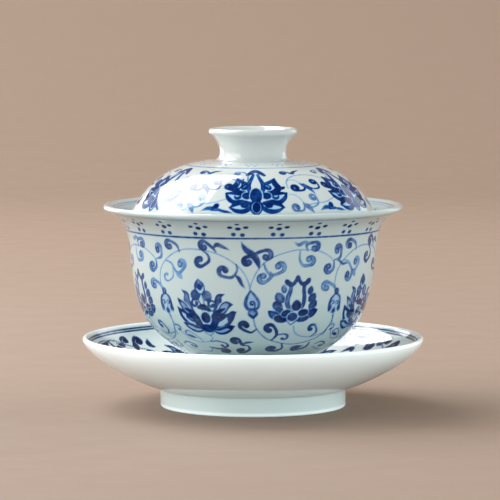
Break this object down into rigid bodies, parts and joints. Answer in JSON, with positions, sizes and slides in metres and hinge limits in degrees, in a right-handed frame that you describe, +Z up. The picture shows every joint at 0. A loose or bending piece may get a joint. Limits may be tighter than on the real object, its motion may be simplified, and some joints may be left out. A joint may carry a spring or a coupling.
{
  "type": "gaiwan",
  "caption": "Lidded tea bowl on its saucer, in glazed white porcelain painted with a blue lotus scroll; the bowl lifts off its saucer and the domed lid lifts out of its flared lip",
  "frame": {"origin": "centre of the saucer's foot ring, in the plane it stands on", "axes": "+Z up along the shared turning axis of saucer, bowl and lid; +X right and +Y back as it is served"},
  "size_m": [0.114, 0.114, 0.0932],
  "materials": {
    "saucer_porcelain": "gloss, clear glaze over white porcelain, cobalt blue painting inside the dish",
    "bowl_porcelain": "gloss, clear glaze over white porcelain, cobalt blue lotus scroll outside",
    "lid_porcelain": "gloss, clear glaze over white porcelain, cobalt blue lotus scroll on the dome"
  },
  "bodies": {
    "saucer": {"saucer": "saucer_porcelain"},
    "bowl": {"bowl": "bowl_porcelain"},
    "lid": {"lid": "lid_porcelain"}
  },
  "joints": [
    {"name": "bowl_lift", "type": "slide", "parent": "saucer", "child": "bowl", "axis": [0, 0, 1], "range_m": [0, 0.016]},
    {"name": "lid_lift", "type": "slide", "parent": "bowl", "child": "lid", "axis": [0, 0, 1], "range_m": [0, 0.024]}
  ]
}
